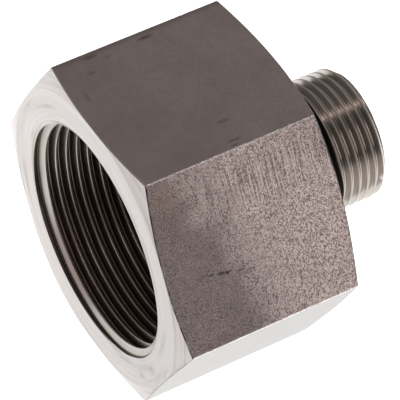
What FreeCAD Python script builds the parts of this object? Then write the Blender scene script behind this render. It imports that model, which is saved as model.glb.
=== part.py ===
"""Hydraulic reducing adapter, turned from one length of stainless hexagon bar.

The front half is the bar as drawn, 60 mm across flats, with both its ends turned to a shallow
cone. A G 1 1/2 socket is bored into it. The back half is turned down to a G 3/4 stud, and a
passage runs right through. The socket is bored to its thread's inner diameter and the stud is
turned to its thread's outer diameter, as both are before their threads are cut.

The adapter lies on one flat of its hexagon. X runs along it, from the socket's face to the
stud's end, and Z is up. The origin is under the middle of the part, on the surface it lies on.
All sizes are in millimetres and degrees.
"""
import FreeCAD, Part
import os

import Sketcher

NODE = "adapter_body"

DIMENSIONS = [
    # the hexagon bar
    ("across_flats", 60.0, "spanner size of the hexagon"),
    ("hex_length", 38.4, "socket face to stud shoulder"),
    ("bar_corner_radius", 0.35, "rounding of the drawn bar's corners"),
    ("front_circle_margin", 0.1, "turned front face beyond the flats, on the radius"),
    ("rear_circle_inset", 1.3, "turned shoulder inside the flats, on the radius"),
    ("front_cone_angle", 15.0, "front chamfer, measured from the face"),
    ("rear_cone_angle", 15.8, "rear chamfer, measured from the shoulder"),
    # the stud, G 3/4
    ("stud_length", 18.6, "shoulder to the stud's end"),
    ("stud_thread_diameter", 26.441, "outer diameter of the G 3/4 thread"),
    ("stud_end_chamfer", 1.1, "lead at 45 degrees"),
    ("stud_relief_width", 6.8, "bottom of the run-out groove at the shoulder"),
    ("stud_relief_depth", 1.4, "run-out groove below the thread's crest"),
    # the socket, G 1 1/2
    ("socket_bore_diameter", 44.845, "inner diameter of the G 1 1/2 thread"),
    ("socket_mouth_diameter", 48.0, "rim of the lead"),
    ("socket_lead_half_angle", 60.0, "half of the 120 degree lead"),
    ("socket_thread_depth", 22.5, "face to the end of the thread"),
    ("socket_relief_depth", 1.8, "run-out groove below the bore"),
    ("socket_depth", 27.5, "face to the socket's floor"),
    ("socket_floor_radius", 0.8, "corner between the groove and the floor"),
    # the passage
    ("passage_diameter", 16.0, "drilled right through"),
    ("passage_lead", 1.5, "45 degree lead from the socket's floor"),
    ("seat_diameter", 20.6, "mouth of the coned seat in the stud's end"),
    ("seat_half_angle", 30.0, "half of the seat's 60 degree cone"),
]

# Places that follow from the dimensions. A "reach" is a distance out from the turning axis, and
# an "at" is a distance along it from the socket's face. The cuts at the ends of the hexagon run
# 3 mm past its corners.
WORKED_OUT = [
    ("flat_reach", "=across_flats / 2"),
    ("tool_reach", "=flat_reach / cos(30) + 3"),
    ("front_circle_reach", "=flat_reach + front_circle_margin"),
    ("front_cone_at", "=(tool_reach - front_circle_reach) * tan(front_cone_angle)"),
    ("rear_circle_reach", "=flat_reach - rear_circle_inset"),
    ("rear_cone_at", "=hex_length - (tool_reach - rear_circle_reach) * tan(rear_cone_angle)"),
    ("shoulder_at", "=hex_length"),
    ("stud_end_at", "=hex_length + stud_length"),
    ("stud_reach", "=stud_thread_diameter / 2"),
    ("stud_tip_reach", "=stud_reach - stud_end_chamfer"),
    ("stud_lead_at", "=stud_end_at - stud_end_chamfer"),
    ("stud_groove_reach", "=stud_reach - stud_relief_depth"),
    ("stud_groove_at", "=shoulder_at + stud_relief_width"),
    ("stud_thread_at", "=stud_groove_at + stud_relief_depth"),
    ("socket_reach", "=socket_bore_diameter / 2"),
    ("mouth_reach", "=socket_mouth_diameter / 2"),
    ("mouth_at", "=(mouth_reach - socket_reach) / tan(socket_lead_half_angle)"),
    ("socket_groove_reach", "=socket_reach + socket_relief_depth"),
    ("thread_end_at", "=socket_thread_depth"),
    ("socket_groove_at", "=thread_end_at + socket_relief_depth"),
    ("floor_at", "=socket_depth"),
    ("passage_reach", "=passage_diameter / 2"),
    ("lead_reach", "=passage_reach + passage_lead"),
    ("lead_at", "=floor_at + passage_lead"),
    ("seat_reach", "=seat_diameter / 2"),
    ("seat_at", "=stud_end_at - (seat_reach - passage_reach) / tan(seat_half_angle)"),
]

# how a constraint names a line's start, the sketch's origin point, and its two axes: the one
# along the part and the one in the socket's face
START = 1
SKETCH_ORIGIN = (-1, 1)
SKETCH_AXES = (-1, -2)

doc = FreeCAD.newDocument("hydraulic_adapter")
sheet = doc.addObject("Spreadsheet::Sheet", "Dimensions")
row = 1
for alias, value, meaning in DIMENSIONS:
    sheet.set("A%d" % row, alias.replace("_", " "))
    sheet.set("B%d" % row, str(value))
    sheet.set("C%d" % row, meaning)
    sheet.setAlias("B%d" % row, alias)
    row += 1
for alias, formula in WORKED_OUT:
    sheet.set("A%d" % row, alias.replace("_", " "))
    sheet.set("B%d" % row, formula)
    sheet.setAlias("B%d" % row, alias)
    row += 1
doc.recompute()


def origin_plane(body, role):
    """One of the body's own origin planes."""
    for feature in body.Origin.OriginFeatures:
        if feature.Role == role:
            return feature
    raise ValueError("the body has no plane " + role)


def new_sketch(body, name, role):
    sketch = body.newObject("Sketcher::SketchObject", name)
    sketch.AttachmentSupport = [(origin_plane(body, role), "")]
    sketch.MapMode = "FlatFace"
    return sketch


def draw_closed(sketch, points):
    """Straight lines from each point to the next, joined at their ends."""
    lines = []
    for index, start in enumerate(points):
        end = points[(index + 1) % len(points)]
        segment = Part.LineSegment(FreeCAD.Vector(*start), FreeCAD.Vector(*end))
        lines.append(sketch.addGeometry(segment, False))
    for index, line in enumerate(lines):
        following = lines[(index + 1) % len(lines)]
        sketch.addConstraint(Sketcher.Constraint("Coincident", line, 2, following, START))
    return lines


def drive(sketch, name, alias, kind, *geometry):
    """A dimension in a sketch that takes its value from the sheet."""
    index = sketch.addConstraint(Sketcher.Constraint(kind, *geometry, sheet.get(alias)))
    sketch.renameConstraint(index, name)
    sketch.setExpression("Constraints." + name, "Dimensions." + alias)


def turned_profile(body, name, corners):
    """Half of a turned section, each corner given by how far along and how far out it lies.

    Both are names on the sheet. Without a name, the corner is on the front face or the axis.
    """
    sketch = new_sketch(body, name, "XZ_Plane")
    points = []
    for at, reach in corners:
        points.append((sheet.get(at) if at else 0, sheet.get(reach) if reach else 0))
    lines = draw_closed(sketch, points)
    for number, (line, (at, reach)) in enumerate(zip(lines, corners)):
        if at:
            drive(sketch, "at_%d" % number, at, "DistanceX", *SKETCH_ORIGIN, line, START)
        else:
            sketch.addConstraint(Sketcher.Constraint("PointOnObject", line, START, SKETCH_AXES[1]))
        if reach:
            drive(sketch, "reach_%d" % number, reach, "DistanceY", *SKETCH_ORIGIN, line, START)
        else:
            sketch.addConstraint(Sketcher.Constraint("PointOnObject", line, START, SKETCH_AXES[0]))
    return sketch


def turn(body, kind, name, corners):
    """Add a Revolution or cut a Groove right round the axis, and make sure that it did so."""
    before = body.Tip.Shape.Volume
    profile = turned_profile(body, name + "_profile", corners)
    feature = body.newObject("PartDesign::" + kind, name)
    feature.Profile = profile
    feature.ReferenceAxis = (profile, ["H_Axis"])
    feature.Angle = 360
    doc.recompute()
    gained = feature.Shape.Volume - before
    if (gained > 0) != (kind == "Revolution"):
        raise ValueError("%s changed the volume by %.3f" % (name, gained))
    return feature


def round_edges(body, name, alias, chosen):
    """Round the edges of the body's last feature that the chosen test picks."""
    last = body.Tip
    names = []
    for number, edge in enumerate(last.Shape.Edges, start=1):
        if chosen(edge):
            names.append("Edge%d" % number)
    feature = body.newObject("PartDesign::Fillet", name)
    feature.Base = (last, names)
    feature.setExpression("Radius", "Dimensions." + alias)
    doc.recompute()
    return feature


def hexagon_bar(body):
    """The drawn bar, cut to length: a regular hexagon with two flats level."""
    sketch = new_sketch(body, "bar_section", "YZ_Plane")
    flat = sheet.get("flat_reach")
    half_side = flat * 3 ** 0.5 / 3
    upper = [(-half_side, flat), (half_side, flat), (2 * half_side, 0)]
    points = upper + [(-across, -up) for across, up in upper]
    lines = draw_closed(sketch, points)
    centre = FreeCAD.Vector(0, 0)
    corners = Part.Circle(centre, FreeCAD.Vector(0, 0, 1), 2 * half_side)
    circle = sketch.addGeometry(corners, True)
    sketch.addConstraint(Sketcher.Constraint("Coincident", circle, 3, *SKETCH_ORIGIN))
    for line in lines:
        sketch.addConstraint(Sketcher.Constraint("PointOnObject", line, START, circle))
    for line in lines[1:]:
        sketch.addConstraint(Sketcher.Constraint("Equal", lines[0], line))
    sketch.addConstraint(Sketcher.Constraint("Horizontal", lines[0]))
    drive(sketch, "half_across_flats", "flat_reach", "DistanceY", *SKETCH_ORIGIN, lines[0], START)

    pad = body.newObject("PartDesign::Pad", "bar")
    pad.Profile = sketch
    pad.setExpression("Length", "Dimensions.hex_length")
    doc.recompute()
    round_edges(body, "bar_corners", "bar_corner_radius", lies_along_the_bar)


def lies_along_the_bar(edge):
    start, end = edge.Vertexes[0].Point, edge.Vertexes[-1].Point
    return abs(end.x - start.x) > sheet.get("hex_length") / 2


def in_the_floor_corner(edge):
    """True for the circle where the socket's run-out groove meets its floor."""
    circle = edge.Curve
    if not isinstance(circle, Part.Circle):
        return False
    at_floor = abs(circle.Center.x - sheet.get("floor_at")) < 0.01
    return at_floor and abs(circle.Radius - sheet.get("socket_groove_reach")) < 0.01


def chamfer_the_hexagon(body):
    """Both ends of the bar, faced and turned to shallow cones that cut its corners."""
    turn(body, "Groove", "front_cone", [
        (None, "front_circle_reach"),
        (None, "tool_reach"),
        ("front_cone_at", "tool_reach"),
    ])
    turn(body, "Groove", "rear_cone", [
        ("shoulder_at", "rear_circle_reach"),
        ("rear_cone_at", "tool_reach"),
        ("shoulder_at", "tool_reach"),
    ])


def stud(body):
    """The G 3/4 stud: groove at the shoulder, thread's blank, lead at the end."""
    turn(body, "Revolution", "stud", [
        ("shoulder_at", None),
        ("shoulder_at", "stud_groove_reach"),
        ("stud_groove_at", "stud_groove_reach"),
        ("stud_thread_at", "stud_reach"),
        ("stud_lead_at", "stud_reach"),
        ("stud_end_at", "stud_tip_reach"),
        ("stud_end_at", None),
    ])


def socket(body):
    """The G 1 1/2 socket: lead, thread's bore, run-out groove and flat floor."""
    turn(body, "Groove", "socket", [
        (None, None),
        (None, "mouth_reach"),
        ("mouth_at", "socket_reach"),
        ("thread_end_at", "socket_reach"),
        ("socket_groove_at", "socket_groove_reach"),
        ("floor_at", "socket_groove_reach"),
        ("floor_at", None),
    ])
    round_edges(body, "floor_corner", "socket_floor_radius", in_the_floor_corner)


def passage(body):
    """The way through, with a lead from the socket and a coned seat in the stud's end."""
    turn(body, "Groove", "passage", [
        ("floor_at", None),
        ("floor_at", "lead_reach"),
        ("lead_at", "passage_reach"),
        ("seat_at", "passage_reach"),
        ("stud_end_at", "seat_reach"),
        ("stud_end_at", None),
    ])


adapter = doc.addObject("PartDesign::Body", NODE)
adapter.Label = NODE
hexagon_bar(adapter)
chamfer_the_hexagon(adapter)
stud(adapter)
socket(adapter)
passage(adapter)
adapter.setExpression("Placement.Base.x", "-Dimensions.stud_end_at / 2")
adapter.setExpression("Placement.Base.z", "Dimensions.flat_reach")
doc.recompute()

for item in doc.Objects:
    if "Invalid" in item.State or "Error" in item.State:
        raise ValueError("%s failed: %s" % (item.Name, item.State))
shape = adapter.Shape
if shape.isNull() or not shape.isValid() or len(shape.Solids) != 1:
    raise ValueError(NODE + " is not one valid solid")
box = shape.optimalBoundingBox()
print("%s: %.1f x %.1f x %.1f mm, volume %.0f mm3"
      % (NODE, box.XLength, box.YLength, box.ZLength, shape.Volume))

os.makedirs("parts", exist_ok=True)
shape.exportStep("parts/%s.step" % NODE)
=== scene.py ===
import math

import bmesh
import bpy
from mathutils import Matrix, Vector, noise


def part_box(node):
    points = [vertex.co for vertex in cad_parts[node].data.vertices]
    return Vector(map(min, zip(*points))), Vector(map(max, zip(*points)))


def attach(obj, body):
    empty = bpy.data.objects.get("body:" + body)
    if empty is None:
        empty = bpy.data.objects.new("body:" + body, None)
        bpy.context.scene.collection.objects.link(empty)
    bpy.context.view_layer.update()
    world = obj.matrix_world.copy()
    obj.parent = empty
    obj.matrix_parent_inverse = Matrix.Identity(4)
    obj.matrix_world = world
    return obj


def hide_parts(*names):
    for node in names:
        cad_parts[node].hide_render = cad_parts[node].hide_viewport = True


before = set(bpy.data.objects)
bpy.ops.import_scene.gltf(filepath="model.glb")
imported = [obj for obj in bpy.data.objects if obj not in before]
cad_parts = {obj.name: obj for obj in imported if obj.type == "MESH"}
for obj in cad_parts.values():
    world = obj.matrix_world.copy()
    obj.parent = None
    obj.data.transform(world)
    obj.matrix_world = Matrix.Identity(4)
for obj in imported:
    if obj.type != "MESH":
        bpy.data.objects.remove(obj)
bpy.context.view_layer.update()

# The adapter is one length of stainless hexagon bar, turned and bored in a lathe. Its surface is
# laid out here as rings round the turning axis, in millimetres: along it from the socket's face,
# out from it, and round it from the upper flat. Points that coincide become one.
MM = 0.001
FULL_TURN = 2 * math.pi
STEPS_IN_TURN = 10 ** 7
STEPS_IN_MM = 10 ** 4
low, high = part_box("adapter_body")
flat_reach = (high.z - low.z) / 2 / MM
axis_height = (high.z + low.z) / 2
overall_length = (high.x - low.x) / MM


class Skin:
    """The adapter's surface while it is laid out: points, faces, and each face's finish."""

    def __init__(self):
        self.points = []
        self.at = []
        self.known = {}
        self.faces = []
        self.lays = []
        self.places = []
        self.areas = []

    def point(self, along, reach, turn):
        step = round(turn / FULL_TURN * STEPS_IN_TURN) % STEPS_IN_TURN
        key = (round(along * STEPS_IN_MM), round(reach * STEPS_IN_MM), step)
        if key not in self.known:
            self.known[key] = len(self.points)
            across = -reach * math.sin(turn) * MM
            up = axis_height + reach * math.cos(turn) * MM
            self.points.append((low.x + along * MM, across, up))
            self.at.append((along, reach, 0.0))
        return self.known[key]

    def face(self, corners, area):
        kept = [c for n, c in enumerate(corners) if c[0] != corners[n - 1][0]]
        if len(kept) > 2:
            self.faces.append([number for number, lay in kept])
            for number, lay in kept:
                self.lays.extend(lay)
                self.places.extend(self.at[number])
            self.areas.append(area)

    def column(self, stations, turn, lay):
        return [(self.point(along, reach, turn), lay(along, reach, turn))
                for along, reach in stations]

    def wrap(self, turns, section, area, lay):
        """Cover a whole turn; section(turn) gives the places along one side of the cut."""
        before = None
        for turn in turns + [turns[0] + FULL_TURN]:
            places = section(turn)
            now = self.column(places, turn, lay)
            if before:
                for row in range(len(now) - 1):
                    here = area if isinstance(area, str) else area(turn, *places[row:row + 2])
                    self.face([before[row], before[row + 1], now[row + 1], now[row]], here)
            before = now

    def span(self, inner, outer, area, lay):
        """Fill the flat ring between two rings, each given as a list of (along, reach, turn)."""
        rings = []
        for ring in (inner, outer):
            closed = ring + [(ring[0][0], ring[0][1], ring[0][2] + FULL_TURN)]
            rings.append([(turn, (self.point(along, reach, turn), lay(along, reach, turn)))
                          for along, reach, turn in closed])
        near, far = rings
        i = j = 0
        while i < len(near) - 1 or j < len(far) - 1:
            near_left, far_left = i < len(near) - 1, j < len(far) - 1
            if near_left and (not far_left or near[i + 1][0] <= far[j + 1][0]):
                self.face([near[i][1], near[i + 1][1], far[j][1]], area)
                i += 1
            else:
                self.face([near[i][1], far[j + 1][1], far[j][1]], area)
                j += 1


skin = Skin()

# The drawn bar: six flats, smooth to the hand, and corners that the die has left slightly
# round. The corners are nicked by handling, so their rounding comes and goes along the bar.
HEX_LENGTH = 38.4
SIXTH = math.radians(60)
FLAT_COLUMNS = 12
FLAT_COLUMNS_REACH = math.tan(math.radians(28.6))
CORNER_RADIUS = 0.42
CORNER_SMALLEST = 0.3525
CORNER_COLUMNS = [-1.0, -0.65, -0.4, -0.25, -0.12, 0.0, 0.12, 0.25, 0.4, 0.65, 1.0]
CORNER_WEAR = 0.1
WEAR_LENGTH = 0.8
WEAR_APART = 7.3
WEAR_LAYER = 2.1
CORNER_WEAR_AND_HIGHLIGHT = (math.radians(-0.24), math.radians(0.264))
BAR_ROWS = 84
FRONT_CIRCLE = flat_reach + 0.1
FRONT_SLOPE = math.tan(math.radians(15))
REAR_CIRCLE = flat_reach - 1.3
REAR_SLOPE = math.tan(math.radians(15.8))
EDGE_BREAK = 0.18
FLAT_STEP = 20.0


def bar_turns():
    turns = []
    for sixth in range(-3, 3):
        middle = sixth * SIXTH
        for step in range(FLAT_COLUMNS + 1):
            sideways = FLAT_COLUMNS_REACH * (2 * step / FLAT_COLUMNS - 1)
            turns.append(middle + math.atan(sideways))
        for degrees in CORNER_COLUMNS:
            turns.append(middle + SIXTH / 2 + math.radians(degrees))
    return turns


def bar_reach(along, turn):
    """How far out the bar's surface lies, with its worn corner rounding."""
    sixth = round(turn / SIXTH)
    off_flat = turn - sixth * SIXTH
    corner = math.floor(turn / SIXTH)
    wear = noise.noise(Vector((along / WEAR_LENGTH, (corner % 6) * WEAR_APART, WEAR_LAYER)))
    radius = max(CORNER_RADIUS + CORNER_WEAR * wear, CORNER_SMALLEST)
    off_corner = turn - (corner + 0.5) * SIXTH
    centre = (flat_reach - radius) / math.cos(SIXTH / 2)
    sideways = centre * math.sin(off_corner)
    flat = flat_reach / math.cos(off_flat)
    on_corner = math.tan(SIXTH / 2) * (flat_reach - radius)
    if flat_reach * math.tan(abs(off_flat)) <= on_corner or abs(sideways) > radius:
        return flat
    return centre * math.cos(off_corner) + math.sqrt(radius ** 2 - sideways ** 2)


def front_cone(reach):
    return max(reach - FRONT_CIRCLE, 0) * FRONT_SLOPE


def rear_cone(reach):
    return HEX_LENGTH - max(reach - REAR_CIRCLE, 0) * REAR_SLOPE


def bar_section(turn):
    reach = flat_reach / math.cos(turn - round(turn / SIXTH) * SIXTH)
    start, end = front_cone(reach) + EDGE_BREAK, rear_cone(reach) - EDGE_BREAK
    front, rear = bar_reach(start, turn), bar_reach(end, turn)
    stations = [(front_cone(front - EDGE_BREAK), front - EDGE_BREAK)]
    for row in range(BAR_ROWS + 1):
        along = start + (end - start) * row / BAR_ROWS
        stations.append((along, bar_reach(along, turn)))
    stations.append((rear_cone(rear - EDGE_BREAK), rear - EDGE_BREAK))
    return stations


def flat_lay(along, reach, turn):
    """Marks on a flat: along the bar, across the flat, and a number for the flat."""
    sixth = round(turn / SIXTH)
    return (along, reach * math.sin(turn - sixth * SIXTH), FLAT_STEP * (sixth % 6))


def bar_area(turn, here, there):
    """The finish of the bar's skin at a place: its corners are worn and carry a painted
    highlight, its end edges broken and painted with a dark line.
    """
    if abs(here[1] - there[1]) > EDGE_BREAK / 2:
        return "edge_break"
    off_corner = turn - (math.floor(turn / SIXTH) + 0.5) * SIXTH
    return "corners" if CORNER_WEAR_AND_HIGHLIGHT[0] < off_corner < CORNER_WEAR_AND_HIGHLIGHT[1] else "flats"


skin.wrap(bar_turns(), bar_section, bar_area, flat_lay)

# Between these two values, a noise turns from one tone of the steel to the next. A mark's edge
# fades between two shares of its own length and width.
MARK_EDGE = (0.7, 1.6)
SOFT_STEP = (0.3, 0.7)
QUICK_STEP = (0.35, 0.65)


class Nodes:
    """The shader nodes of one material or sky, each made and joined up by a call."""

    def __init__(self, tree):
        self.tree = tree

    def put(self, value, socket):
        if isinstance(value, bpy.types.NodeSocket):
            self.tree.links.new(value, socket)
        else:
            socket.default_value = value

    def node(self, kind, inputs, output=0, **settings):
        made = self.tree.nodes.new("ShaderNode" + kind)
        for name, value in settings.items():
            setattr(made, name, value)
        for name, value in inputs.items():
            self.put(value, made.inputs[name])
        return made.outputs[output]

    def math(self, operation, *values):
        return self.node("Math", dict(enumerate(values)), operation=operation)

    def plus(self, first, second):
        return self.math("ADD", first, second)

    def times(self, first, *others):
        for other in others:
            first = self.math("MULTIPLY", first, other)
        return first

    def vector(self, operation, first, second):
        return self.node("VectorMath", {0: first, 1: second}, operation=operation)

    def towards(self, place, direction):
        """How far a place lies in a direction."""
        return self.node("VectorMath", {0: place, 1: direction}, "Value",
                         operation="DOT_PRODUCT")

    def parts(self, vector):
        return list(self.node("SeparateXYZ", {0: vector}).node.outputs)

    def ramp(self, value, low, high, to_low=0.0, to_high=1.0, shape="SMOOTHSTEP"):
        return self.node("MapRange", {"Value": value, "From Min": low, "From Max": high,
                                      "To Min": to_low, "To Max": to_high},
                         interpolation_type=shape)

    def blend(self, share, first, second):
        return self.node("Mix", {0: share, 6: first, 7: second}, 2, data_type="RGBA")


class Finish(Nodes):
    """A bare steel finish, laid along the drawing and turning marks of the part's skin."""

    def __init__(self, name):
        self.material = bpy.data.materials.new(name)
        self.material.use_nodes = True
        super().__init__(self.material.node_tree)
        self.shader = self.tree.nodes["Principled BSDF"]
        self.shader.inputs["Metallic"].default_value = 1.0
        self.lay = self.attribute("lay")

    def attribute(self, name):
        return self.node("Attribute", {}, "Vector", attribute_name=name)

    def grain(self, scale, detail=2.0, roughness=0.5, shift=(0, 0, 0)):
        """Noise laid along the tool marks, with so many grains to the millimetre each way."""
        vector = self.node("VectorMath", {0: self.lay, 1: scale, 2: shift},
                           operation="MULTIPLY_ADD")
        return self.node("TexNoise", {"Vector": vector, "Scale": 1.0, "Detail": detail,
                                      "Roughness": roughness})

    def specks(self, scale):
        """A chance value for each speck, with so many specks to the millimetre each way."""
        vector = self.vector("MULTIPLY", self.lay, scale)
        return self.parts(self.node("TexVoronoi", {"Vector": vector, "Scale": 1.0}, "Color"))[0]

    def far_from(self, middle, stretch):
        """Distance from a place on the skin, stretched by its own number each way."""
        off = self.vector("MULTIPLY", self.vector("SUBTRACT", self.lay, middle), stretch)
        return self.node("VectorMath", {0: off}, "Value", operation="LENGTH")

    def past_flat(self, flat, number, up_to, beyond):
        """One value up to the flat of that number and another on the flats after it."""
        edge = (number + 0.5) * FLAT_STEP
        return self.ramp(flat, edge - FLAT_STEP / 4, edge + FLAT_STEP / 4, up_to, beyond)

    def mark(self, flat, along, across, length, width, ragged):
        """A soft ragged patch on one flat, its length along the bar and its width across."""
        off = self.far_from((along, across, flat * FLAT_STEP), (1 / length, 1 / width, 1.0))
        return self.ramp(self.plus(off, ragged), *MARK_EDGE, 1.0, 0.0)

    def color(self, value):
        self.put(value, self.shader.inputs["Base Color"])

    def roughness(self, value):
        self.put(value, self.shader.inputs["Roughness"])

    def bump(self, height, distance):
        normal = self.node("Bump", {"Height": height, "Strength": 1.0, "Distance": distance})
        self.put(normal, self.shader.inputs["Normal"])


# Drawn flats are brownish and dull. The right flat, number 1, is smooth near the socket, and
# scuffed rough towards the stud, where its colour is painted lighter, partly for the scuffing
# and partly as painted light standing in for the soft box's light, with streaks across it near
# its upper corner.
BROWNS = ((0.385, 0.327, 0.318, 1), (0.42, 0.357, 0.347, 1))
WARM_BROWN = (0.50, 0.37, 0.33, 1)
FAR_EDGE_BROWN = (0.22, 0.185, 0.175, 1)
OTHER_FLATS_GREY = (0.365, 0.362, 0.352, 1)
MARK_BROWN = (0.12, 0.1, 0.09, 1)
DULL_EDGE_TINT = (0.7, 0.7, 0.7, 1)
RIGHT_FLAT = 1
OTHER_FLATS_SHARE = 0.1
GRAIN_DRIFT = 14.0
ROUGH_SLANT = 0.3
ROUGH_FROM, ROUGH_FULL = 6.5, 24.0
SMOOTH_ROUGHNESS, SCUFFED_ROUGHNESS = 0.22, 0.46
GRAIN_LEAST, GRAIN_MOST = 0.10, 0.26
FLAT_BUMP = 0.00016
SPECKLE_SHARE = 0.3
STREAK_SPECKS = 0.6
STREAK_SHARE = 0.85
STREAKS_ALONG = (8.0, 16.0)
STREAKS_START_ACROSS = (-16.5, -12.5)
STREAKS_END_ACROSS = (-8.0, -3.5)
SCUFF_AND_PAINTED_LIGHT = 0.71
PATCH_LIGHTER = 0.2
FLECK_CONTRAST = 0.6
FLECK_LEAST = 0.07
FLECK_LIGHTEST = 0.28
FLECK_STEP = (0.25, 0.75)
MOTTLE = (0.965, 1.035)
WARM_SHARE = 0.6
LIGHTER_PATCH = (RIGHT_FLAT, 33.0, 1.5, 9.0, 11.0)
WARM_PATCH = (RIGHT_FLAT, 4.5, -13.5, 4.5, 3.2)
FAR_EDGE = (-17.0, -15.6)
FAR_EDGE_SHARE = 0.5
# Each dark mark: its flat, place along and across, length, width, and how dark it is.
FLAT_MARKS = [
    (0, 8.6, -16.0, 1.9, 0.6, 0.6),
    (0, 20.0, -15.4, 2.2, 0.6, 0.7),
    (0, 6.8, -12.2, 1.2, 0.6, 0.35),
    (0, 11.5, -14.5, 1.2, 0.6, 0.25),
    (0, 3.2, -7.5, 0.6, 2.2, 0.25),
    (0, 21.5, 10.3, 1.7, 0.6, 0.4),
    (0, 20.9, 15.4, 2.0, 0.55, 0.45),
    (0, 20.3, 16.5, 1.2, 0.3, 0.6),
    (1, 0.6, -15.0, 0.5, 2.6, 0.9),
    (1, 7.5, 3.15, 0.8, 0.2, 0.6),
    (1, 9.0, 3.5, 0.9, 0.3, 0.8),
    (1, 10.9, 3.95, 1.1, 0.42, 1.0),
    (1, 12.2, 4.25, 0.9, 0.4, 1.0),
    (1, 14.7, 4.8, 1.1, 0.24, 0.8),
]


def drawn_finish():
    """Drawn flats, brownish and dull: grained, rougher towards the stud, streaked across."""
    finish = Finish("drawn_steel")
    finish.put(DULL_EDGE_TINT, finish.shader.inputs["Specular Tint"])
    along, across, flat = finish.parts(finish.lay)
    clouds = finish.grain((0.09, 0.09, 1.0), 3.0)
    wander = finish.grain((0.16, 0.16, 1.0), 3.0, shift=(7.0, 3.0, 1.0))
    drift = finish.times(finish.math("SUBTRACT", wander, 0.5), GRAIN_DRIFT)

    on_right = finish.math("COMPARE", flat, RIGHT_FLAT * FLAT_STEP, FLAT_STEP / 4)
    scuffed = finish.ramp(on_right, 0.0, 1.0, OTHER_FLATS_SHARE, 1.0)
    slant = finish.math("SUBTRACT", along, finish.times(across, ROUGH_SLANT))
    rough_end = finish.ramp(finish.plus(slant, drift), ROUGH_FROM, ROUGH_FULL)
    rough_end = finish.times(rough_end, scuffed)

    speckle = finish.grain((4.6, 3.2, 1.0), 3.0, 0.8)
    specks = finish.blend(SPECKLE_SHARE, finish.specks((6.5, 5.0, 1.0)), speckle)
    comb = finish.ramp(finish.grain((3.0, 0.13, 1.0), 2.0, 0.5), *SOFT_STEP)
    streaks = finish.blend(STREAK_SPECKS, comb, specks)
    streaked = finish.times(finish.ramp(across, *STREAKS_END_ACROSS, 1.0, 0.0),
                            finish.ramp(finish.plus(along, drift), *STREAKS_ALONG),
                            finish.ramp(across, *STREAKS_START_ACROSS), scuffed)
    grain = finish.blend(finish.times(streaked, STREAK_SHARE), specks, streaks)
    fleck = finish.ramp(grain, *FLECK_STEP, -1.0, 1.0)

    amount = finish.times(finish.ramp(rough_end, 0.0, 1.0, GRAIN_LEAST, GRAIN_MOST), scuffed)
    middle = finish.ramp(rough_end, 0.0, 1.0, SMOOTH_ROUGHNESS, SCUFFED_ROUGHNESS)
    finish.roughness(finish.plus(middle, finish.times(fleck, amount, 0.5)))
    finish.bump(finish.times(fleck, amount), FLAT_BUMP)

    patch = finish.mark(*LIGHTER_PATCH, wander)
    # Painted light: towards the stud the right flat's colour is made lighter, partly for its
    # scuffing and partly standing in for the soft box's light on its rough grain.
    scuff_and_painted_light = finish.plus(finish.times(rough_end, SCUFF_AND_PAINTED_LIGHT), 1.0)
    scuff_and_painted_light = finish.plus(scuff_and_painted_light, finish.times(patch, PATCH_LIGHTER))
    flecks = finish.plus(finish.times(fleck, rough_end, FLECK_CONTRAST),
                         finish.times(fleck, finish.times(scuffed, FLECK_LEAST)))
    flecks = finish.math("MINIMUM", flecks, FLECK_LIGHTEST)
    mottle = finish.grain((0.45, 0.45, 1.0), 3.0, 0.6, shift=(3.0, 9.0, 4.0))
    scuff_and_painted_light = finish.times(scuff_and_painted_light, finish.plus(flecks, 1.0),
                         finish.ramp(mottle, *SOFT_STEP, *MOTTLE))

    brown = finish.blend(finish.ramp(clouds, *QUICK_STEP), *BROWNS)
    warm = finish.mark(*WARM_PATCH, wander)
    brown = finish.blend(finish.times(warm, WARM_SHARE), brown, WARM_BROWN)
    brown = finish.node("VectorMath", {0: brown, "Scale": scuff_and_painted_light}, operation="SCALE")
    on_others = finish.past_flat(flat, RIGHT_FLAT, 0.0, 1.0)
    color = finish.blend(on_others, brown, OTHER_FLATS_GREY)
    for number, along_at, across_at, length, width, depth in FLAT_MARKS:
        share = finish.mark(number, along_at, across_at, length, width, speckle)
        color = finish.blend(finish.times(share, depth), color, MARK_BROWN)
    far_edge = finish.times(finish.ramp(across, *FAR_EDGE, FAR_EDGE_SHARE, 0.0),
                            finish.past_flat(flat, 0, 1.0, 0.0))
    finish.color(finish.blend(far_edge, color, FAR_EDGE_BROWN))
    return finish.material


CORNER_STEEL = (0.6, 0.53, 0.51, 1)
WORN_HIGHLIGHT_STEEL = (1.0, 0.96, 0.95, 1)
CORNER_ROUGHNESS = 0.22
NICK_STEP = (0.35, 0.5)
NICK_DEPTH = 0.0008
HIGHLIGHT_ALONG = (2.0, 16.0)
HIGHLIGHT_LEAST = 0.7


def corner_finish():
    """Corners worn and nicked by handling, with a painted highlight along the ridge where they
    are worn, most of all towards the stud.
    """
    finish = Finish("corner_wear_and_highlight")
    finish.roughness(CORNER_ROUGHNESS)
    nicks = finish.grain((1.3, 2.0, 1.0), 2.0)
    along = finish.parts(finish.lay)[0]
    # Painted highlight: where the nicks rise the corner turns near white, for the bright ragged
    # line along the ridge; the nicks themselves are wear.
    worn_and_highlight = finish.times(finish.ramp(nicks, *NICK_STEP),
                          finish.ramp(along, *HIGHLIGHT_ALONG, HIGHLIGHT_LEAST, 1.0))
    finish.color(finish.blend(worn_and_highlight, CORNER_STEEL, WORN_HIGHLIGHT_STEEL))
    finish.bump(nicks, NICK_DEPTH)
    return finish.material


EDGE_STEEL = (0.36, 0.32, 0.31, 1)
EDGE_PAINTED_DARK = (0.05, 0.045, 0.04, 1)
EDGE_ROUGHNESS = 0.35
OTHER_EDGES_SHARE = 0.6
GAP_STEP = (0.4, 0.6)
GAP_SHARE = 0.4


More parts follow.
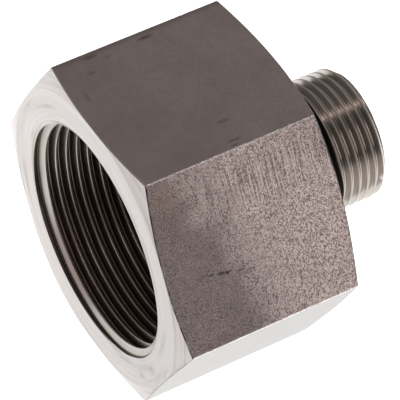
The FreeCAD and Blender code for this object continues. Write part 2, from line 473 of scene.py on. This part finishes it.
def edge_finish():
    """The broken edge where a turned cone meets a flat, painted with a dark line that stands in
    for its dark reflection, darkest on the right flat, with gaps.
    """
    finish = Finish("broken_edge")
    finish.roughness(EDGE_ROUGHNESS)
    flat = finish.parts(finish.lay)[2]
    gaps = finish.grain((0.3, 0.3, 1.0), 2.0, shift=(0.0, 4.0, 0.0))
    # Painted shade: the broken edges past the upper flat carry a thin dark line.
    dark = finish.times(finish.past_flat(flat, 0, 0.0, 1.0),
                        finish.past_flat(flat, RIGHT_FLAT, 1.0, OTHER_EDGES_SHARE),
                        finish.ramp(gaps, *GAP_STEP, 1.0, GAP_SHARE))
    finish.color(finish.blend(dark, EDGE_STEEL, EDGE_PAINTED_DARK))
    return finish.material


# Both ends of the hexagon are faced in the lathe and chamfered to a shallow cone, which cuts
# each flat in a curve. The bare steel has soft smears round it in several tones, and two dark
# smudges on its lower right.
MOUTH_REACH = 24.0
CONE_ROWS = 4
LAY_REACH = 8


def round_lay(along, reach, turn):
    """Tool marks of a turned surface: quick across them, slow round them."""
    return (along + reach, LAY_REACH * math.cos(turn), LAY_REACH * math.sin(turn))


def even_turns(count):
    return [FULL_TURN * (step / count - 0.5) for step in range(count)]


def front_cone_section(turn):
    outer = bar_section(turn)[0][1]
    inner = min(outer, FRONT_CIRCLE)
    stations = []
    for row in range(CONE_ROWS + 1):
        reach = outer + (inner - outer) * row / CONE_ROWS
        stations.append((front_cone(reach), reach))
    return stations


def rear_cone_section(turn):
    outer = bar_section(turn)[-1][1]
    stations = []
    for row in range(CONE_ROWS + 1):
        reach = outer + (REAR_CIRCLE - outer) * row / CONE_ROWS
        stations.append((rear_cone(reach), reach))
    return stations


SOCKET_TURNS = even_turns(300)
skin.wrap(bar_turns(), front_cone_section, "front_cone", round_lay)
front_rim = [(*front_cone_section(turn)[-1], turn) for turn in bar_turns()]
mouth_rim = [(0.0, MOUTH_REACH, turn) for turn in SOCKET_TURNS]
skin.span(mouth_rim, front_rim, "front_face", round_lay)
skin.wrap(bar_turns(), rear_cone_section, "rear_cone", round_lay)

TURNED_STEELS = ((0.41, 0.365, 0.358, 1), (0.385, 0.375, 0.362, 1))
SMEAR_STEEL = (0.43, 0.41, 0.402, 1)
RING_STEEL = (0.335, 0.32, 0.31, 1)
DULL_STEEL = (0.265, 0.256, 0.244, 1)
SMUDGE_BLACK = (0.16, 0.155, 0.15, 1)
SMUDGES = [(27.6, -6.02, 5.27), (26.8, -4.62, 6.53)]
SMUDGE_STRETCH = (1.0, 2.2, 2.2)
SMUDGE_EDGE = (0.5, 1.9)
SMUDGE_SHARE = 0.5
LEFT_PAINTED_LIGHT, RIGHT_PAINTED_SHADE = 1.04, 0.93
TURNED_ROUGHNESS = 0.28
RING_DEPTH = 0.000012


def turned_finish():
    """Faced and coned in the lathe: soft smears round it in several tones of bare steel."""
    finish = Finish("turned_steel")
    finish.roughness(TURNED_ROUGHNESS)
    rings = finish.grain((1.6, 0.14, 0.14), 3.0, 0.55)
    smears = finish.grain((0.45, 0.09, 0.09), 3.0, 0.6, shift=(5.0, 1.0, 2.0))
    tones = finish.grain((0.3, 0.2, 0.2), 2.0, shift=(2.0, 6.0, 3.0))
    dull = finish.grain((0.7, 0.22, 0.22), 4.0, 0.65, shift=(1.0, 4.0, 7.0))
    color = finish.blend(finish.ramp(tones, *QUICK_STEP), *TURNED_STEELS)
    for streak, step, most, steel in ((smears, (0.4, 0.7), 1.0, SMEAR_STEEL),
                                      (rings, QUICK_STEP, 0.6, RING_STEEL),
                                      (dull, (0.5, 0.72), 0.95, DULL_STEEL)):
        color = finish.blend(finish.ramp(streak, *step, 0.0, most), color, steel)
    # Painted light: the turned faces are painted lighter to the left and darker to the right, as
    # the light falls on them.
    sideways = finish.parts(finish.lay)[2]
    painted_side_light = finish.ramp(sideways, -LAY_REACH, LAY_REACH, LEFT_PAINTED_LIGHT, RIGHT_PAINTED_SHADE)
    color = finish.node("VectorMath", {0: color, "Scale": painted_side_light}, operation="SCALE")
    for middle in SMUDGES:
        off = finish.plus(finish.far_from(middle, SMUDGE_STRETCH), tones)
        share = finish.ramp(off, *SMUDGE_EDGE, SMUDGE_SHARE, 0.0)
        color = finish.blend(share, color, SMUDGE_BLACK)
    finish.color(color)
    finish.bump(rings, RING_DEPTH)
    return finish.material


# The socket: a right-hand G 1 1/2 thread, 11 to the inch, cut with a single point into the
# bored bar. It starts in a 120 degree lead and runs out in a groove above the socket's floor.
INCH = 25.4
THREAD_ROUNDING = 0.137329
THREAD_DEPTH = 0.640327
HALF_THREAD_ANGLE = math.radians(27.5)
FLANK_START = 0.121813
FLANK_DROP = THREAD_ROUNDING * (1 - math.sin(HALF_THREAD_ANGLE))
CREST_STEPS = (0.0, 0.045, 0.088, FLANK_START)
SOCKET_PITCH = INCH / 11
SOCKET_MINOR = 44.845 / 2
SOCKET_CUT = 1.06
SOCKET_CREST_AT = 2.83
SOCKET_THREAD_END = 22.5
SOCKET_GROOVE_DEPTH = 1.8
SOCKET_GROOVE = SOCKET_MINOR + SOCKET_GROOVE_DEPTH
SOCKET_GROOVE_AT = SOCKET_THREAD_END + SOCKET_GROOVE - SOCKET_MINOR
SOCKET_FLOOR = 27.5
FLOOR_RADIUS = 0.8
FLOOR_ARC = (0, 22.5, 45, 67.5, 90)
LEAD_SLOPE = math.tan(math.radians(60))


def thread_drop(off_crest):
    """Depth of a 55 degree pipe thread below its crest, both in pitches."""
    off = abs(off_crest - round(off_crest))
    if off > 0.25:
        return THREAD_DEPTH - thread_drop(0.5 - off)
    if off < FLANK_START:
        return THREAD_ROUNDING - math.sqrt(THREAD_ROUNDING ** 2 - off ** 2)
    return FLANK_DROP + (off - FLANK_START) / math.tan(HALF_THREAD_ANGLE)


def pitch_steps():
    """Stations in one pitch, closest together over the round crest and root."""
    steps = set()
    for step in CREST_STEPS:
        steps.update((step, (1 - step) % 1, 0.5 + step, 0.5 - step))
    return sorted(steps)


def helix_stations(turn, crest_at, pitch, start, end):
    """Places along the axis that follow the thread round, held between its two ends."""
    lead = crest_at + pitch * turn / FULL_TURN
    first = math.floor((start - crest_at) / pitch) - 2
    last = math.ceil((end - crest_at) / pitch) + 1
    stations = []
    for winding in range(first, last):
        for step in pitch_steps():
            stations.append(min(max(lead + pitch * (winding + step), start), end))
    return stations


def socket_reach(along, turn):
    off_crest = (along - SOCKET_CREST_AT) / SOCKET_PITCH - turn / FULL_TURN
    thread = SOCKET_MINOR + SOCKET_CUT * SOCKET_PITCH * thread_drop(off_crest)
    lead = MOUTH_REACH - along * LEAD_SLOPE
    groove = SOCKET_MINOR + along - SOCKET_THREAD_END
    return max(thread, lead, min(groove, SOCKET_GROOVE))


def socket_section(turn):
    places = helix_stations(turn, SOCKET_CREST_AT, SOCKET_PITCH, 0.0, SOCKET_GROOVE_AT)
    return [(along, socket_reach(along, turn)) for along in places]


def socket_end_section(turn):
    stations = [(SOCKET_GROOVE_AT, SOCKET_GROOVE)]
    for degrees in FLOOR_ARC:
        sweep = math.radians(degrees)
        along = SOCKET_FLOOR - FLOOR_RADIUS * (1 - math.sin(sweep))
        stations.append((along, SOCKET_GROOVE - FLOOR_RADIUS * (1 - math.cos(sweep))))
    return stations


skin.wrap(SOCKET_TURNS, socket_section, "socket_thread", round_lay)
skin.wrap(SOCKET_TURNS, socket_end_section, "socket_end", round_lay)

SHADED_BORED_STEELS = ((0.14, 0.13, 0.12, 1), (0.30, 0.28, 0.26, 1))
BORED_ROUGHNESS = 0.4
BORED_RING_DEPTH = 0.00003


def inner_finish():
    """The socket's end and the passage, bored and drilled, dull, and painted dark as the shade
    deep inside the socket.
    """
    finish = Finish("bored_steel")
    finish.roughness(BORED_ROUGHNESS)
    rings = finish.grain((2.5, 0.3, 0.3), 3.0)
    # Painted shade: both tones are dark for the shade deep in the socket.
    finish.color(finish.blend(rings, *SHADED_BORED_STEELS))
    finish.bump(rings, BORED_RING_DEPTH)
    return finish.material


RING_DULLING = 0.84
THREAD_RING_DEPTH = 0.000004
THREAD_DULLEST = 0.5
CREST_HALF = (0.1, 0.3)
BLACK_FADE = 0.12


class ThreadFinish(Finish):
    """A cut thread: bright steel with fine rings, to be browned as painted shade and blackened
    in its grooves.
    """

    def __init__(self, name, bright):
        super().__init__(name)
        self.along, self.reach, unused = self.parts(self.attribute("place"))
        rings = self.grain((6.0, 0.5, 0.5), 3.0)
        dull = (*(RING_DULLING * value for value in bright[:3]), 1)
        self.steel = self.blend(self.ramp(rings, *SOFT_STEP), dull, bright)
        self.bump(rings, THREAD_RING_DEPTH)

    def blacken(self, color, blackening, black, crest, dull_crest, dull_root, polish):
        """Black by the blackening share, and duller there than on the polished crests."""
        self.color(self.blend(blackening, color, black))
        off_crest = self.math("ABSOLUTE", self.math("SUBTRACT", self.reach, crest))
        dullness = self.ramp(off_crest, *CREST_HALF, dull_crest, dull_root)
        dullness = self.math("MAXIMUM", dullness, blackening)
        self.roughness(self.ramp(dullness, 0.0, 1.0, polish, THREAD_DULLEST))


SOCKET_BRIGHT = (0.41, 0.39, 0.36, 1)
SOCKET_SHADE_BROWN = (0.23, 0.185, 0.155, 1)
SOCKET_BLACK = (0.075, 0.062, 0.055, 1)
SOCKET_SHADE_DEPTH = 1.4
SOCKET_BLACK_REACH = (23.5, 23.85)
SOCKET_DULL_CREST, SOCKET_DULL_ROOT, SOCKET_POLISH = 0.4, 0.35, 0.26
PAST_LEAD = (MOUTH_REACH + 0.02, MOUTH_REACH + 0.2)
FIRST_GROOVE_END = 1.9
FIRST_GROOVE_FADE = 0.4
FIRST_GROOVE_SHARE = 0.3
STAIN_BROWN = (0.2, 0.16, 0.148, 1)
STAIN_TOWARDS, STAIN_EDGE, STAIN_SHARE = (0.0, -0.843, -0.537), (6.6, 7.9), 0.8
STAIN_FADE = 0.3
PAINTED_SHADE_BROWN = (0.22, 0.175, 0.145, 1)
LOW_SHADE_TOWARDS, LOW_SHADE_EDGE, LOW_SHADE_SHARE = (0.0, -0.94, -0.342), (2.5, 6.0), 0.55
LEFT_SHADE_TOWARDS, LEFT_SHADE_EDGE, LEFT_SHADE_SHARE = (0.0, -0.559, -0.829), (6.9, 7.75), 0.85
SHADE_ALONG = (2.6, 3.2)


def socket_thread_finish():
    """Grooves browned as painted shade, the first one black, and painted shade low on the wall
    and to its left.
    """
    finish = ThreadFinish("socket_steel", SOCKET_BRIGHT)
    along, reach = finish.along, finish.reach
    past_lead = finish.plus(finish.times(along, LEAD_SLOPE), reach)
    in_groove = finish.ramp(past_lead, *PAST_LEAD)
    past_first = finish.ramp(along, FIRST_GROOVE_END, FIRST_GROOVE_END + FIRST_GROOVE_FADE,
                             FIRST_GROOVE_SHARE, 1.0)
    # Painted shade: deeper in the grooves the steel is painted browner and darker.
    depth = finish.ramp(reach, SOCKET_MINOR, SOCKET_MINOR + SOCKET_SHADE_DEPTH)
    color = finish.blend(finish.times(depth, in_groove, past_first), finish.steel, SOCKET_SHADE_BROWN)

    beyond = finish.math("SUBTRACT", along, FIRST_GROOVE_END)
    blackening = finish.times(finish.ramp(beyond, -BLACK_FADE, BLACK_FADE, 1.0, 0.0), in_groove,
                        finish.ramp(reach, *SOCKET_BLACK_REACH))

    def on_side(direction, edge, share):
        return finish.ramp(finish.towards(finish.lay, direction), *edge, 0.0, share)

    stain = finish.times(
        on_side(STAIN_TOWARDS, STAIN_EDGE, STAIN_SHARE),
        finish.ramp(along, FIRST_GROOVE_END, FIRST_GROOVE_END + STAIN_FADE, 1.0, 0.0))
    color = finish.blend(stain, color, STAIN_BROWN)
    # Painted shade: low on the wall and to its left the colour is browned darker, dimming the
    # crest lines there.
    deeper = finish.ramp(along, *SHADE_ALONG)
    low_shade = finish.times(on_side(LOW_SHADE_TOWARDS, LOW_SHADE_EDGE, LOW_SHADE_SHARE), deeper)
    left_shade = finish.times(on_side(LEFT_SHADE_TOWARDS, LEFT_SHADE_EDGE, LEFT_SHADE_SHARE), deeper)
    color = finish.blend(finish.math("MAXIMUM", low_shade, left_shade), color, PAINTED_SHADE_BROWN)
    finish.blacken(color, blackening, SOCKET_BLACK, SOCKET_MINOR, SOCKET_DULL_CREST,
                   SOCKET_DULL_ROOT, SOCKET_POLISH)
    return finish.material


# The passage is drilled right through, with a lead from the socket's floor. A 60 degree seat is
# bored into the stud's end, where a hose's cone seals.
PASSAGE_TURNS = even_turns(96)
PASSAGE_REACH = 8.0
PASSAGE_LEAD = 1.5
SEAT_REACH = 10.3
SEAT_SLOPE = math.tan(math.radians(30))


def passage_section(turn):
    seat_at = overall_length - (SEAT_REACH - PASSAGE_REACH) / SEAT_SLOPE
    return [
        (SOCKET_FLOOR, PASSAGE_REACH + PASSAGE_LEAD),
        (SOCKET_FLOOR + PASSAGE_LEAD, PASSAGE_REACH),
        ((SOCKET_FLOOR + seat_at) / 2, PASSAGE_REACH),
        (seat_at, PASSAGE_REACH),
        (overall_length, SEAT_REACH),
    ]


floor_rim = [(*socket_end_section(turn)[-1], turn) for turn in SOCKET_TURNS]
passage_mouth = [(*passage_section(turn)[0], turn) for turn in PASSAGE_TURNS]
skin.span(passage_mouth, floor_rim, "socket_floor", round_lay)
skin.wrap(PASSAGE_TURNS, passage_section, "passage", round_lay)

# The stud: the bar turned down and cut with a right-hand G 3/4 thread, 14 to the inch. It has a
# 45 degree lead at its end and a run-out groove where it meets the shoulder, painted black as
# the shade in that corner.
STUD_TURNS = even_turns(180)
STUD_PITCH = INCH / 14
STUD_MAJOR = 26.441 / 2
STUD_CREST_AT = 46.62
STUD_LEAD = 1.1
STUD_GROOVE_DEPTH = 1.4
STUD_GROOVE = STUD_MAJOR - STUD_GROOVE_DEPTH
STUD_GROOVE_LENGTH = 6.8
STUD_GROOVE_END = HEX_LENGTH + STUD_GROOVE_LENGTH


def stud_reach(along, turn):
    off_crest = (along - STUD_CREST_AT) / STUD_PITCH - turn / FULL_TURN
    thread = STUD_MAJOR - STUD_PITCH * thread_drop(off_crest)
    lead = STUD_MAJOR - STUD_LEAD + overall_length - along
    groove = STUD_GROOVE + along - STUD_GROOVE_END
    return min(thread, lead, max(groove, STUD_GROOVE))


def stud_section(turn):
    places = helix_stations(turn, STUD_CREST_AT, STUD_PITCH, STUD_GROOVE_END, overall_length)
    return [(along, stud_reach(along, turn)) for along in places]


def stud_groove_section(turn):
    return [(HEX_LENGTH, STUD_GROOVE), (STUD_GROOVE_END, STUD_GROOVE)]


skin.wrap(STUD_TURNS, stud_section, "stud_thread", round_lay)
skin.wrap(STUD_TURNS, stud_groove_section, "stud_thread", round_lay)
stud_end_rim = [(overall_length, stud_reach(overall_length, turn), turn) for turn in STUD_TURNS]
seat_rim = [(overall_length, SEAT_REACH, turn) for turn in PASSAGE_TURNS]
skin.span(seat_rim, stud_end_rim, "stud_end", round_lay)
groove_rim = [(HEX_LENGTH, STUD_GROOVE, turn) for turn in STUD_TURNS]
shoulder_rim = [(HEX_LENGTH, REAR_CIRCLE, turn) for turn in bar_turns()]
skin.span(groove_rim, shoulder_rim, "shoulder", round_lay)

STUD_BRIGHT = (0.48, 0.445, 0.41, 1)
STUD_SHADE_BROWN = (0.39, 0.352, 0.32, 1)
STUD_SHADE_BLACK = (0.024, 0.022, 0.018, 1)
STUD_SHADE_DEPTH = 1.1
STUD_DULL_CREST, STUD_DULL_ROOT, STUD_POLISH = 0.6, 0.0, 0.2
RUN_OUT_END = 46.6
RUN_OUT_SHADE_START = (-4.0, -2.2)
LOW_SIDE = (0.0, 5.0)
LOW_SIDE_SHORTER = 0.45


def stud_thread_finish():
    """Clean crests, grooves browned slightly as painted shade, and a black ring of painted shade
    before the first crest.
    """
    finish = ThreadFinish("stud_steel", STUD_BRIGHT)
    # Painted shade: the grooves turn slightly browner the deeper they go.
    depth = finish.ramp(finish.reach, STUD_MAJOR, STUD_MAJOR - STUD_SHADE_DEPTH)
    color = finish.blend(depth, finish.steel, STUD_SHADE_BROWN)
    # Painted shade: black in the run-out groove before the first crest, where shade fills the
    # corner by the shoulder.
    upwards = finish.parts(finish.lay)[1]
    beyond = finish.math("SUBTRACT", finish.along, RUN_OUT_END)
    beyond = finish.math("SUBTRACT", beyond,
                         finish.ramp(upwards, *LOW_SIDE, LOW_SIDE_SHORTER, 0.0))
    blackening = finish.times(finish.ramp(beyond, -BLACK_FADE, BLACK_FADE, 1.0, 0.0),
                        finish.ramp(beyond, *RUN_OUT_SHADE_START))
    finish.blacken(color, blackening, STUD_SHADE_BLACK, STUD_MAJOR, STUD_DULL_CREST, STUD_DULL_ROOT,
                   STUD_POLISH)
    return finish.material


# The laid-out skin becomes one closed steel mesh in place of the plain solid. It is creased
# where two of its turned or cut areas meet, and only the worn corners run into the flats.
FINISHES = [
    (drawn_finish(), ("flats",)),
    (corner_finish(), ("corners",)),
    (edge_finish(), ("edge_break",)),
    (turned_finish(), ("front_face", "front_cone", "rear_cone", "shoulder", "stud_end")),
    (inner_finish(), ("socket_floor", "socket_end", "passage")),
    (socket_thread_finish(), ("socket_thread",)),
    (stud_thread_finish(), ("stud_thread",)),
]
SOFT_JOINS = [{"flats", "corners"}]
SHARP_FOLD = math.radians(50)


def finished_body():
    mesh = bpy.data.meshes.new("adapter")
    mesh.from_pydata(skin.points, [], skin.faces)
    for name, values in (("lay", skin.lays), ("place", skin.places)):
        attribute = mesh.attributes.new(name, "FLOAT_VECTOR", "CORNER")
        attribute.data.foreach_set("vector", values)
    slots = {}
    for number, (material, areas) in enumerate(FINISHES):
        mesh.materials.append(material)
        slots.update((area, number) for area in areas)
    work = bmesh.new()
    work.from_mesh(mesh)
    area_of = {}
    for face, area in zip(work.faces, skin.areas):
        face.material_index = slots[area]
        face.smooth = True
        area_of[face] = area
    for edge in work.edges:
        first, second = edge.link_faces
        pair = {area_of[first], area_of[second]}
        edge.smooth = len(pair) == 1 or pair in SOFT_JOINS
    bmesh.ops.recalc_face_normals(work, faces=work.faces)
    for edge in work.edges:
        if edge.smooth and edge.calc_face_angle(0) > SHARP_FOLD:
            edge.smooth = False
    work.to_mesh(mesh)
    work.free()
    body = bpy.data.objects.new("finished_adapter", mesh)
    bpy.context.scene.collection.objects.link(body)
    weighted = body.modifiers.new("flat_faces", "WEIGHTED_NORMAL")
    weighted.keep_sharp = True
    return body


adapter = finished_body()
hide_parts("adapter_body")
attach(adapter, "root")

# The part lies on a light table: a white sheet that glows, brightest under the part and dim
# further out, so the part has hardly a shadow.
TABLE_SIZE = 4.0
TABLE_WHITE = (0.8, 0.8, 0.8, 1)
GLOW_WHITE = (1.0, 1.0, 1.0, 1)
TABLE_ROUGHNESS = 0.9
TABLE_GLOW = 1.3
DIM_TOWARDS = (0.5, -0.86, 0.0)
DIM_FROM = (0.03, 0.13)
OUTER_SHARE = 0.62
LIT_MIDDLE = (-0.035, -0.01, 0.0)
LIT_REACH = (0.185, 0.22)
DIM_SHARE = 0.04


def table_finish():
    material = bpy.data.materials.new("light_table")
    material.use_nodes = True
    sheet = Nodes(material.node_tree)
    shader = sheet.tree.nodes["Principled BSDF"]
    place = sheet.node("NewGeometry", {}, "Position")
    away = sheet.node("VectorMath", {0: place, 1: LIT_MIDDLE}, "Value", operation="DISTANCE")
    outer = sheet.ramp(sheet.towards(place, DIM_TOWARDS), *DIM_FROM, 1.0, OUTER_SHARE)
    glow = sheet.times(outer, sheet.ramp(away, *LIT_REACH, 1.0, DIM_SHARE), TABLE_GLOW)
    for name, value in (("Base Color", TABLE_WHITE), ("Roughness", TABLE_ROUGHNESS),
                        ("Emission Color", GLOW_WHITE), ("Emission Strength", glow)):
        sheet.put(value, shader.inputs[name])
    return material


corners = [(x * TABLE_SIZE, y * TABLE_SIZE, 0) for x, y in ((-1, -1), (1, -1), (1, 1), (-1, 1))]
table_mesh = bpy.data.meshes.new("table")
table_mesh.from_pydata(corners, [], [(0, 1, 2, 3)])
table_mesh.materials.append(table_finish())
table = bpy.data.objects.new("table", table_mesh)
bpy.context.scene.collection.objects.link(table)

# A dim studio, lighter at the back and overhead and dark before the socket's end. A narrow strip
# overhead draws the light line along the stud, a small lamp stands before the socket, and a
# large soft box lights the right flat.
SKY_TINT = (1.0, 0.95, 0.93, 1)
SKY_DIM = 0.17
SKY_BACK = 0.295
BACK_TOWARDS, BACK_EDGE = (0, 1, 0), (-0.05, 0.12)
DARK_SHARE = 0.15
DARK_TOWARDS, DARK_EDGE = (-0.86, -0.50, 0.0), (0.35, 0.6)
CEILING = 0.2
CEILING_TOWARDS, CEILING_EDGE = (-0.75, 0.1, 0.65), (0.35, 0.7)
UPWARDS, UPWARDS_EDGE = (0, 0, 1), (0.15, 0.5)
LAMP_AWAY = 1.2
# Each lamp: its name, direction from the part, length, width, brightness and tint.
LAMPS = [
    ("strip", (0.35, 0.0165, 0.9375), 1.4, 0.11, 3.6, (1.0, 0.88, 0.84)),
    ("front_lamp", (-0.93, -0.04, 0.37), 0.44, 0.44, 2.4, (1.0, 0.83, 0.78)),
    ("side_box", (-0.1, -0.84, 0.53), 0.95, 0.95, 1.05, (1.0, 0.91, 0.88)),
]
world = bpy.data.worlds.new("studio")
bpy.context.scene.world = world
world.use_nodes = True
studio = Nodes(world.node_tree)
sky = world.node_tree.nodes["Background"]
direction = studio.node("TexCoord", {}, "Generated")


def shade(towards, edge, before, beyond):
    """Brightness that changes with how far the sky lies towards a direction."""
    return studio.ramp(studio.towards(direction, towards), *edge, before, beyond, "LINEAR")


def soft_box(name, towards, length, width, brightness, tint):
    """A flat lamp in a direction from the part, facing it, its length nearest to the axis."""
    light = bpy.data.lights.new(name, "AREA")
    light.shape = "RECTANGLE"
    light.size, light.size_y = length, width
    light.energy = brightness * math.pi * length * width
    light.color = tint
    lamp = bpy.data.objects.new(name, light)
    back = Vector(towards).normalized()
    side = (Vector((1, 0, 0)) - back * back.x).normalized()
    facing = Matrix((side, back.cross(side), back)).transposed()
    middle = back * LAMP_AWAY + Vector((0, 0, axis_height))
    lamp.matrix_world = Matrix.Translation(middle) @ facing.to_4x4()
    bpy.context.scene.collection.objects.link(lamp)


around = studio.times(shade(DARK_TOWARDS, DARK_EDGE, 1.0, DARK_SHARE),
                      shade(BACK_TOWARDS, BACK_EDGE, SKY_DIM, SKY_BACK))
ceiling = studio.times(shade(CEILING_TOWARDS, CEILING_EDGE, 0.0, CEILING),
                       shade(UPWARDS, UPWARDS_EDGE, 0.0, 1.0))
studio.put(SKY_TINT, sky.inputs["Color"])
studio.put(studio.plus(around, ceiling), sky.inputs["Strength"])
for lamp_row in LAMPS:
    soft_box(*lamp_row)

# The camera looks down on the part from its socket end, as in the photograph. Its place is
# measured from the middle of the socket's face, and its two directions are held square.
CAMERA_FROM_FACE = Vector((-215.46, -392.8, 492.98)) * MM
RIGHT = Vector((0.86078, -0.50886, 0.0112))
BACK = Vector((-0.35347, -0.58181, 0.7325))
SENSOR_WIDTH = 36.0
LENS_LENGTH = 320.634
NEAREST_SEEN = 0.01
camera_data = bpy.data.cameras.new("camera")
camera_data.sensor_width = SENSOR_WIDTH
camera_data.lens = LENS_LENGTH
camera_data.clip_start = NEAREST_SEEN
camera = bpy.data.objects.new("camera", camera_data)
bpy.context.scene.collection.objects.link(camera)
back = BACK.normalized()
up = back.cross(RIGHT).normalized()
right = up.cross(back)
turned = Matrix((right, up, back)).transposed()
place = Vector((low.x, 0, axis_height)) + CAMERA_FROM_FACE
camera.matrix_world = Matrix.Translation(place) @ turned.to_4x4()
bpy.context.scene.camera = camera
bpy.context.scene.view_settings.view_transform = "Standard"
